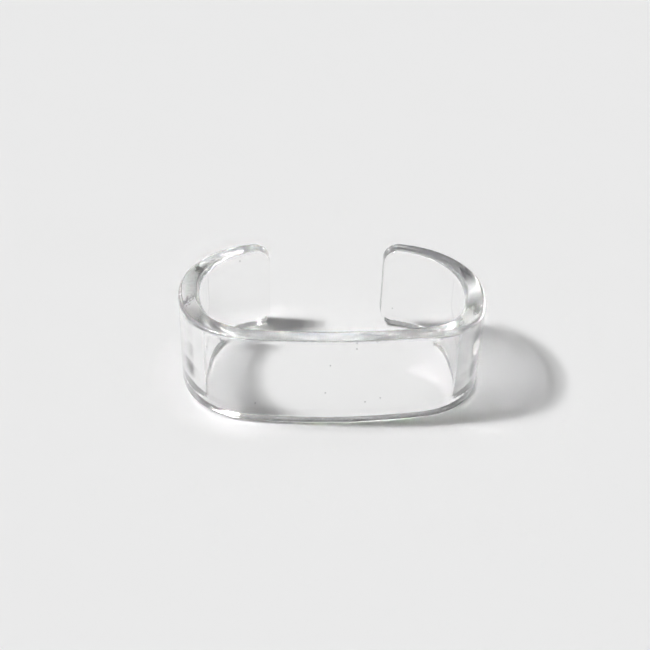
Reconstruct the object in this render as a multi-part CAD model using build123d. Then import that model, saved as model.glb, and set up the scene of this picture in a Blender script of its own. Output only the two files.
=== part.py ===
"""Open cuff bracelet: one band of clear acrylic, bent from flat bar with its edges polished round.

Millimetres. +X runs across the wrist, +Y towards the opening at the back, +Z up.
The origin is on the surface that the cuff lies on, under the middle of its outline.
"""

import math
import os

from build123d import *

# Driving dimensions
WALL = 4.5              # thickness of the bar
BAND_HEIGHT = 20.6      # width of the bar, which is the height of the cuff as it lies
EDGE_ROUND = 1.0        # polished rounding along every edge
TIP_CORNER = 3.5        # rounded corners of the two tips, seen square to the wall

# Half of the plan, as tangent arcs of the wall's middle line: (radius, sweep in degrees)
FRONT = (119.5, 8.8)     # nearly flat front, from its middle outwards
SHOULDER = (14.0, 63.8)  # tight bend beside the wrist
SIDE = (26.7, 21.5)      # flatter stretch at the side
BACK = (17.7, 84.8)      # bend round to the tip


def plan_arcs():
    """The four arcs of the right half as (centre, radius, start angle, end angle), in degrees."""
    arcs = []
    centre = Vector(0, FRONT[0])
    radius = FRONT[0]
    angle = -90.0
    for next_radius, sweep in (FRONT, SHOULDER, SIDE, BACK):
        joint = centre + Vector(radius, 0).rotate(Axis.Z, angle)
        centre = joint - Vector(next_radius, 0).rotate(Axis.Z, angle)
        radius = next_radius
        arcs.append((centre, radius, angle, angle + sweep))
        angle += sweep
    return arcs


def wall_curve(arcs, offset):
    """The arcs moved outwards by offset, as one line of edges."""
    return [
        CenterArc(centre, radius + offset, start, end - start)
        for centre, radius, start, end in arcs
    ]


def half_plan(arcs):
    """Flat face of the right half: outer wall, tip, inner wall, and the cut at the middle."""
    outer = wall_curve(arcs, WALL / 2)
    inner = wall_curve(arcs, -WALL / 2)
    tip = Line(outer[-1] @ 1, inner[-1] @ 1)
    middle = Line(inner[0] @ 0, outer[0] @ 0)
    return make_face(outer + [tip] + inner + [middle])


def cuff_band():
    """The whole band: both halves raised to the band's height, then rounded."""
    arcs = plan_arcs()
    half = extrude(half_plan(arcs), BAND_HEIGHT)
    band = half + mirror(half, Plane.YZ)
    band = band.clean()
    tip_height = BAND_HEIGHT / 2
    upright = [face for face in band.faces() if face.geom_type == GeomType.PLANE]
    tips = [face for face in upright if abs(face.center().Z - tip_height) < 0.1]
    corners = [edge for face in tips for edge in face.edges() if abs(edge.length - WALL) < 0.01]
    band = fillet(corners, TIP_CORNER)
    band = fillet(band.edges(), EDGE_ROUND)
    box = band.bounding_box()
    return Pos(0, -box.center().Y, 0) * band


os.makedirs("parts", exist_ok=True)
cuff = cuff_band()
cuff.label = "cuff_band"
export_step(cuff, "parts/cuff_band.step")
print("size", cuff.bounding_box().size, "volume", round(cuff.volume), "valid", cuff.is_valid)
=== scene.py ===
"""A clear acrylic cuff bracelet lying on a pale table, lit by one soft key light from the left."""

import math

import bpy
import numpy as np
from mathutils import Matrix, Vector, noise


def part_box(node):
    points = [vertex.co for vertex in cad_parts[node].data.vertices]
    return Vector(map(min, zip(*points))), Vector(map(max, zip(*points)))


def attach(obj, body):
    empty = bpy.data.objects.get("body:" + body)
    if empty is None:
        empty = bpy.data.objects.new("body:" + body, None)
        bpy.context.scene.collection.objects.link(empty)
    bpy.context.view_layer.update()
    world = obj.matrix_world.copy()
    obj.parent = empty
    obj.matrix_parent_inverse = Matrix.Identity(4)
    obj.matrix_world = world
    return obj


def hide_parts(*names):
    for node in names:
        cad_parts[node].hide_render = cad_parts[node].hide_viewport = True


MM = 0.001

# The band, as the CAD part has it
WALL = 4.5 * MM
BAND_HEIGHT = 20.6 * MM
EDGE_ROUND = 1.0 * MM
TIP_CORNER = 3.5 * MM

# Half of the plan, as tangent arcs of the wall's middle line: (radius, sweep in degrees)
FRONT = (119.5 * MM, 8.8)
SHOULDER = (14.0 * MM, 63.8)
SIDE = (26.7 * MM, 21.5)
BACK = (17.7 * MM, 84.8)
PLAN_ARCS = (FRONT, SHOULDER, SIDE, BACK)

# Fineness of the band's mesh, in steps
RUN_STEPS = 360
END_STEPS = 20
CORNER_STEPS = 10
ROUND_STEPS = 10
FLAT_STEPS = 8

# Unevenness left by forming and polishing by hand: depth, and length along and across
WALL_WAVE = 0.030 * MM
WALL_WAVE_SIZE = (13.0 * MM, 7.0 * MM)
RIM_WAVE = 0.14 * MM
RIM_WAVE_SIZE = (7.0 * MM, 0.9 * MM)
RIM_WAVE_REACH = 2.0 * MM

# How far apart the two faces, and the two rims, are in the noise, so that their waves differ
WALL_NOISE_GAP = 9.0
RIM_NOISE_GAP = 5.0

# Clear acrylic, with a few specks in it
ACRYLIC_IOR = 1.49
ACRYLIC_TINT = (0.985, 0.985, 0.985, 1)
SPECK_SPACING = 4.5 * MM
SPECK_RADIUS = 0.14 * MM
SPECK_FADE = 1.6                # where a speck has faded out, in radii
SPECK_TINT = (0.35, 0.35, 0.35, 1)

# Its surface: smudged all over, worn along the lower edge, and finely uneven along both rims.
# A range is the stretch of the noise over which the roughness rises.
SMUDGE_SIZE = 6.0 * MM
SMUDGE_RANGE = (0.35, 0.7)
SMUDGE_ROUGHNESS = (0.0, 0.06)
WEAR_SIZE = 0.5 * MM
WEAR_RANGE = (0.45, 0.65)
WEAR_ROUGHNESS = (0.0, 0.3)
ROUGHNESS_DETAIL = 3.0
POLISH_GRAIN = 0.7 * MM
POLISH_DEPTH = 0.08 * MM
POLISH_DETAIL = 2.0

# Camera: angles in degrees, lens and sensor in millimetres
CAMERA_ELEVATION = 33.0
CAMERA_AZIMUTH = 4.72
CAMERA_ROLL = 2.12
CAMERA_DISTANCE = 230.3 * MM
CAMERA_LENS = 52.87
SENSOR = 36.0
CLIP_START = 10 * MM
AIM = (-1.399 * MM, 16.898 * MM)

# Key light: rows of lamps on the left, each row (elevation in degrees, share of power). It is fitted to the
# shadow in the photograph and isn't physical: a lamp loses no strength with distance, and lights its own
# strip of table only, or at the end of a row everything outwards from there.
KEY_REACH = 245.0 * MM
KEY_ROWS = ((53.3, 1.0), (58.0, 0.75), (63.5, 0.42))
KEY_COLUMNS = 3
KEY_STRIP = 26.0 * MM
KEY_SKEW = 14.5 * MM
KEY_PATCH = 9.5 * MM
KEY_POWER = 14.59

# Room round the table, in stops of (sine of the elevation, brightness)
ROOM = ((0.0, 1.81), (0.09, 1.81), (0.15, 0.0), (0.65, 0.0), (0.8, 1.0), (1.0, 1.0))
ROOM_LIGHT = 0.45

# Table: its size is in metres
TABLE_SIZE = 6.0
TABLE_GAP = 0.03 * MM
TABLE_TONE = 0.8
TABLE_ROUGHNESS = 0.9

# Light has to find its way along the inside of the band, so its paths are long
PATH_LENGTH = 40
INNER_REFLECTIONS = 32


def plan_arcs(front):
    """Arcs of the wall's middle line, right half: centre, radius, start angle, distance at the start."""
    arcs = []
    radius = PLAN_ARCS[0][0]
    centre = np.array([0.0, front + radius])
    angle = -math.pi / 2
    start = 0.0
    for next_radius, sweep in PLAN_ARCS:
        outward = np.array([math.cos(angle), math.sin(angle)])
        centre = centre + (radius - next_radius) * outward
        radius = next_radius
        arcs.append((centre, radius, angle, start))
        angle += math.radians(sweep)
        start += radius * math.radians(sweep)
    return arcs, start


def bend(flat, front):
    """Carries points of the unrolled wall (along, up, out) to the bent band.

    along is 0 at the middle of the front.
    """
    arcs = plan_arcs(front)[0]
    along = np.abs(flat[:, 0])
    side = np.where(flat[:, 0] < 0, -1.0, 1.0)
    points = np.zeros_like(flat)
    for centre, radius, angle, start in arcs:
        here = along >= start
        turn = angle + (along[here] - start) / radius
        reach = radius + flat[here, 2]
        points[here, 0] = side[here] * (centre[0] + reach * np.cos(turn))
        points[here, 1] = centre[1] + reach * np.sin(turn)
    points[:, 2] = flat[:, 1]
    return points


def outline(half_length, inset):
    """The unrolled wall's outline moved inwards by inset, as (along, up).

    It runs anticlockwise from the lower left.
    """
    along = half_length - TIP_CORNER
    rise = BAND_HEIGHT / 2 - TIP_CORNER
    radius = TIP_CORNER - inset
    centres = [np.array(c) for c in ((-along, -rise), (along, -rise), (along, rise), (-along, rise))]
    points = []
    for side in range(4):
        before = centres[side]
        after = centres[(side + 1) % 4]
        start = math.radians(90 * side - 90)
        normal = np.array([math.cos(start), math.sin(start)])
        steps = END_STEPS if side % 2 else RUN_STEPS
        for step in range(steps):
            points.append(before + (after - before) * step / steps + radius * normal)
        for step in range(CORNER_STEPS):
            turn = start + math.pi / 2 * step / CORNER_STEPS
            points.append(after + radius * np.array([math.cos(turn), math.sin(turn)]))
    return np.array(points)


def rim_profile():
    """(inset, out) of each ring round the rim, from the outer face to the inner one."""
    half = WALL / 2 - EDGE_ROUND
    rings = [(2 * EDGE_ROUND, WALL / 2)]
    for step in range(ROUND_STEPS + 1):
        turn = math.pi / 2 * step / ROUND_STEPS
        rings.append((EDGE_ROUND * (1 - math.sin(turn)), half + EDGE_ROUND * math.cos(turn)))
    for step in range(1, FLAT_STEPS):
        rings.append((0.0, half - 2 * half * step / FLAT_STEPS))
    for inset, out in reversed(rings[:ROUND_STEPS + 2]):
        rings.append((inset, -out))
    return rings


def band_mesh(half_length):
    """The unrolled band as one closed mesh: rings round the rim, and a grid on each face of the wall."""
    rings = rim_profile()
    count = 2 * (RUN_STEPS + END_STEPS) + 4 * CORNER_STEPS
    flat = []
    for inset, out in rings:
        loop = outline(half_length, inset)
        flat.append(np.column_stack([loop, np.full(count, out)]))
    faces = rim_faces(len(rings), count)
    columns, rows = RUN_STEPS + 1, END_STEPS + 1
    for face, (ring, out) in enumerate(((0, WALL / 2), (len(rings) - 1, -WALL / 2))):
        flat.append(wall_points(half_length, out, columns, rows))
        first = len(rings) * count + face * columns * rows
        quads = grid_faces(first, columns, rows)
        quads += ring_to_grid(ring * count, count, grid_border(first, columns, rows))
        faces += quads if face == 0 else [tuple(reversed(quad)) for quad in quads]
    flat = np.concatenate(flat)
    flat[:, 1] += BAND_HEIGHT / 2
    return flat, faces


def rim_faces(rings, count):
    """Quads between each ring round the rim and the next one."""
    faces = []
    for ring in range(rings - 1):
        for i in range(count):
            a = ring * count + i
            b = ring * count + (i + 1) % count
            faces.append((a, a + count, b + count, b))
    return faces


def wall_points(half_length, out, columns, rows):
    """Points of the grid on one face of the wall, as (along, up, out)."""
    along = np.linspace(-1, 1, columns) * (half_length - TIP_CORNER)
    rise = np.linspace(-1, 1, rows) * (BAND_HEIGHT / 2 - TIP_CORNER)
    grid_along, grid_up = np.meshgrid(along, rise)
    return np.column_stack([grid_along.ravel(), grid_up.ravel(), np.full(columns * rows, out)])


def grid_faces(first, columns, rows):
    """Quads of a grid whose vertices start at first."""
    faces = []
    for row in range(rows - 1):
        for column in range(columns - 1):
            a = first + row * columns + column
            faces.append((a, a + 1, a + columns + 1, a + columns))
    return faces


def grid_border(first, columns, rows):
    """For each vertex of a ring, the vertex of the grid's border that it meets."""
    def at(row, column):
        return first + row * columns + column
    corners = (at(0, columns - 1), at(rows - 1, columns - 1), at(rows - 1, 0), at(0, 0))
    sides = ([at(0, c) for c in range(columns - 1)],
             [at(r, columns - 1) for r in range(rows - 1)],
             [at(rows - 1, c) for c in range(columns - 1, 0, -1)],
             [at(r, 0) for r in range(rows - 1, 0, -1)])
    border = []
    for side, corner in zip(sides, corners):
        border += side + [corner] * CORNER_STEPS
    return border


def ring_to_grid(start, count, border):
    """Faces between a ring and the border of the grid inside it: quads, and a fan at each corner."""
    faces = []
    for i in range(count):
        j = (i + 1) % count
        face = [start + i, start + j, border[j], border[i]]
        if border[i] == border[j]:
            face.pop()
        faces.append(tuple(face))
    return faces


def uneven(flat):
    """Wall faces gently waved, and rims with lengthwise streaks, as hand polishing leaves them."""
    for point in flat:
        along, up, out = point
        from_rim = min(up, BAND_HEIGHT - up)
        face = math.copysign(1.0, out)
        wave = noise.noise((along / WALL_WAVE_SIZE[0], up / WALL_WAVE_SIZE[1], WALL_NOISE_GAP * face))
        point[2] += WALL_WAVE * wave * min(1.0, 2 * abs(out) / WALL)
        if from_rim < RIM_WAVE_REACH:
            side = math.copysign(1.0, up - BAND_HEIGHT / 2)
            wave = noise.noise((along / RIM_WAVE_SIZE[0], out / RIM_WAVE_SIZE[1], RIM_NOISE_GAP * side))
            point[1] -= side * RIM_WAVE * (0.5 + 0.5 * wave) * (1 - from_rim / RIM_WAVE_REACH)
    return flat


def make_band():
    """The bent band, with its front where the CAD part has its own."""
    low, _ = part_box("cuff_band")
    front = low.y + WALL / 2
    half_length = plan_arcs(front)[1]
    flat, faces = band_mesh(half_length)
    points = bend(uneven(flat), front)
    mesh = bpy.data.meshes.new("clear_cuff")
    mesh.from_pydata(points.tolist(), [], faces)
    mesh.validate()
    mesh.polygons.foreach_set("use_smooth", [True] * len(mesh.polygons))
    band = bpy.data.objects.new("clear_cuff", mesh)
    bpy.context.scene.collection.objects.link(band)
    return band


def acrylic():
    """Solid clear acrylic, with specks, smudges, wear along the lower edge and polished rims."""
    material = bpy.data.materials.new("clear_acrylic")
    material.use_nodes = True
    tree = material.node_tree
    shader = tree.nodes["Principled BSDF"]
    shader.inputs["IOR"].default_value = ACRYLIC_IOR
    shader.inputs["Transmission Weight"].default_value = 1.0
    place = tree.nodes.new("ShaderNodeTexCoord").outputs["Object"]
    lower, upper = rim_nearness(tree, place)
    tree.links.new(specks(tree, place), shader.inputs["Base Color"])
    tree.links.new(roughness(tree, place, lower), shader.inputs["Roughness"])
    tree.links.new(polish(tree, place, lower, upper), shader.inputs["Normal"])
    return material


def rim_nearness(tree, place):
    """1 at the lower and at the upper rim, and 0 from RIM_WAVE_REACH away from it."""
    height = tree.nodes.new("ShaderNodeSeparateXYZ")
    tree.links.new(place, height.inputs[0])
    lower = ranged(tree, height.outputs["Z"], (0.0, RIM_WAVE_REACH), (1.0, 0.0))
    upper = ranged(tree, height.outputs["Z"], (BAND_HEIGHT - RIM_WAVE_REACH, BAND_HEIGHT), (0.0, 1.0))
    return lower, upper


def specks(tree, place):
    """Clear tint with small grey specks, at most one to a Voronoi cell."""
    cells = tree.nodes.new("ShaderNodeTexVoronoi")
    cells.inputs["Scale"].default_value = 1 / SPECK_SPACING
    tree.links.new(place, cells.inputs["Vector"])
    radius = SPECK_RADIUS / SPECK_SPACING
    clear = ranged(tree, cells.outputs["Distance"], (radius, SPECK_FADE * radius), (0.0, 1.0))
    tint = tree.nodes.new("ShaderNodeMix")
    tint.data_type = "RGBA"
    tint.inputs["A"].default_value = SPECK_TINT
    tint.inputs["B"].default_value = ACRYLIC_TINT
    tree.links.new(clear, tint.inputs["Factor"])
    return tint.outputs["Result"]


def roughness(tree, place, lower):
    """Faint smudges all over, and wear that fades upwards from the lower edge."""
    smudge_noise = noise_node(tree, place, SMUDGE_SIZE, ROUGHNESS_DETAIL)
    wear_noise = noise_node(tree, place, WEAR_SIZE, ROUGHNESS_DETAIL)
    smudge = ranged(tree, smudge_noise, SMUDGE_RANGE, SMUDGE_ROUGHNESS)
    wear = ranged(tree, wear_noise, WEAR_RANGE, WEAR_ROUGHNESS)
    return maths(tree, "MAXIMUM", smudge, maths(tree, "MULTIPLY", wear, lower))


def polish(tree, place, lower, upper):
    """Normal with the fine unevenness of both rims."""
    grain = noise_node(tree, place, POLISH_GRAIN, POLISH_DETAIL)
    rims = maths(tree, "MAXIMUM", lower, upper)
    bump = tree.nodes.new("ShaderNodeBump")
    bump.inputs["Distance"].default_value = POLISH_DEPTH
    tree.links.new(maths(tree, "MULTIPLY", grain, rims), bump.inputs["Height"])
    return bump.outputs["Normal"]


def noise_node(tree, place, size, detail):
    """Factor of a noise whose features are size long."""
    texture = tree.nodes.new("ShaderNodeTexNoise")
    texture.inputs["Scale"].default_value = 1 / size
    texture.inputs["Detail"].default_value = detail
    tree.links.new(place, texture.inputs["Vector"])
    return texture.outputs["Fac"]


def ranged(tree, value, source, target):
    """The value carried from the source range to the target range, and held at both ends."""
    node = tree.nodes.new("ShaderNodeMapRange")
    for name, number in zip(("From Min", "From Max", "To Min", "To Max"), source + target):
        node.inputs[name].default_value = number
    tree.links.new(value, node.inputs["Value"])
    return node.outputs["Result"]


def table_top():
    """Plain pale table, just under the band."""
    mesh = bpy.data.meshes.new("table_top")
    half = TABLE_SIZE / 2
    corners = [(x, y, -TABLE_GAP) for x, y in ((-half, -half), (half, -half), (half, half), (-half, half))]
    mesh.from_pydata(corners, [], [(0, 1, 2, 3)])
    table = bpy.data.objects.new("table_top", mesh)
    bpy.context.scene.collection.objects.link(table)
    material = bpy.data.materials.new("table_paper")
    material.use_nodes = True
    shader = material.node_tree.nodes["Principled BSDF"]
    shader.inputs["Base Color"].default_value = (TABLE_TONE, TABLE_TONE, TABLE_TONE, 1)
    shader.inputs["Roughness"].default_value = TABLE_ROUGHNESS
    shader.inputs["Specular IOR Level"].default_value = 0.0
    mesh.materials.append(material)
    return table


def key_light():
    """Rows of lamps one above the other. Each lamp stands KEY_SKEW behind the middle line of its strip."""
    last = KEY_COLUMNS // 2
    for row, (elevation, share) in enumerate(KEY_ROWS):
        rise = math.radians(elevation)
        height = KEY_REACH * math.sin(rise)
        for column in range(-last, last + 1):
            name = f"key_{row}_{column + last}"
            light = bpy.data.lights.new(name, "POINT")
            light.shadow_soft_size = KEY_PATCH
            light.energy = KEY_POWER * share
            lamp = bpy.data.objects.new(name, light)
            bpy.context.scene.collection.objects.link(lamp)
            lamp.location = (-KEY_REACH * math.cos(rise), column * KEY_STRIP + KEY_SKEW, height)
            aim_at_strip(light, height, (column == last) - (column == -last))


def aim_at_strip(light, height, end):
    """Light strongest along the middle of the lamp's strip, and gone at the middles of the next strips.

    Together the lamps of a row light the table evenly. end is -1 or 1 for a lamp at that end of its row,
    and 0 for the others. A lamp at an end also lights everything beyond its strip.
    """
    light.use_nodes = True
    tree = light.node_tree
    split = tree.nodes.new("ShaderNodeSeparateXYZ")
    tree.links.new(tree.nodes.new("ShaderNodeTexCoord").outputs["Normal"], split.inputs[0])
    slope = maths(tree, "DIVIDE", split.outputs["Y"], split.outputs["Z"])
    strips = maths(tree, "MULTIPLY_ADD", slope, -height / KEY_STRIP, KEY_SKEW / KEY_STRIP)
    away = maths(tree, "MULTIPLY", strips, -end) if end else maths(tree, "ABSOLUTE", strips)
    share = maths(tree, "SUBTRACT", 1.0, away)
    share.node.use_clamp = True
    steepness = maths(tree, "ABSOLUTE", split.outputs["Z"])
    falloff = tree.nodes.new("ShaderNodeLightFalloff")
    tree.links.new(maths(tree, "DIVIDE", share, steepness), falloff.inputs["Strength"])
    tree.links.new(falloff.outputs["Constant"], tree.nodes["Emission"].inputs["Strength"])


def maths(tree, operation, *values):
    """Output of a Math node; each value is a number or a socket."""
    node = tree.nodes.new("ShaderNodeMath")
    node.operation = operation
    for socket, value in zip(node.inputs, values):
        if isinstance(value, (int, float)):
            socket.default_value = value
        else:
            tree.links.new(value, socket)
    return node.outputs[0]


def room():
    """Room pale at the horizon, dark above it so that the edges draw dark lines, and lit overhead."""
    world = bpy.data.worlds.new("room")
    bpy.context.scene.world = world
    world.use_nodes = True
    nodes, links = world.node_tree.nodes, world.node_tree.links
    place = nodes.new("ShaderNodeTexCoord")
    split = nodes.new("ShaderNodeSeparateXYZ")
    ramp = nodes.new("ShaderNodeValToRGB")
    stops = ramp.color_ramp.elements
    while len(stops) < len(ROOM):
        stops.new(0.5)
    for stop, (height, level) in zip(stops, ROOM):
        stop.position = height
        stop.color = (level, level, level, 1)
    links.new(place.outputs["Generated"], split.inputs[0])
    links.new(split.outputs["Z"], ramp.inputs["Fac"])
    links.new(ramp.outputs["Color"], nodes["Background"].inputs["Color"])
    nodes["Background"].inputs["Strength"].default_value = ROOM_LIGHT


def camera():
    """Camera at the photograph's viewing angle, aimed at a point of the table and rolled a little."""
    data = bpy.data.cameras.new("camera")
    data.lens = CAMERA_LENS
    data.sensor_width = SENSOR
    data.clip_start = CLIP_START
    eye = bpy.data.objects.new("camera", data)
    bpy.context.scene.collection.objects.link(eye)
    rise = math.radians(CAMERA_ELEVATION)
    forward = Vector((0, math.cos(rise), -math.sin(rise)))
    right = Vector((1, 0, 0))
    up = right.cross(forward)
    place = Vector((AIM[0], AIM[1], 0)) - CAMERA_DISTANCE * forward
    axes = Matrix((right, up, -forward)).transposed()
    roll = Matrix.Rotation(math.radians(CAMERA_ROLL), 3, "Z")
    turn = Matrix.Rotation(math.radians(-CAMERA_AZIMUTH), 3, "Z")
    eye.matrix_world = Matrix.Translation(turn @ place) @ (turn @ axes @ roll).to_4x4()
    bpy.context.scene.camera = eye


def light_paths():
    """Cycles settings for light through solid acrylic: long paths, and guiding for the lit shadow."""
    cycles = bpy.context.scene.cycles
    cycles.max_bounces = PATH_LENGTH
    cycles.transmission_bounces = PATH_LENGTH
    cycles.glossy_bounces = INNER_REFLECTIONS
    cycles.blur_glossy = 0.0
    cycles.sample_clamp_indirect = 0.0
    cycles.caustics_reflective = False
    cycles.use_guiding = True
    cycles.use_surface_guiding = True


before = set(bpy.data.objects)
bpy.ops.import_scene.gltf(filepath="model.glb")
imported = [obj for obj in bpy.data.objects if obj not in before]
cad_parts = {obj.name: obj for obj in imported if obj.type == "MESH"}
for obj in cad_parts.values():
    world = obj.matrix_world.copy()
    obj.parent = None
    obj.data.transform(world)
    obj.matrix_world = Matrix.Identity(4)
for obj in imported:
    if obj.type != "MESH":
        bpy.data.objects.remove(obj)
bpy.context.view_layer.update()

band = make_band()
band.data.materials.append(acrylic())
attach(band, "root")
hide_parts("cuff_band")
table_top()
key_light()
room()
camera()
light_paths()
bpy.context.scene.view_settings.view_transform = "Standard"
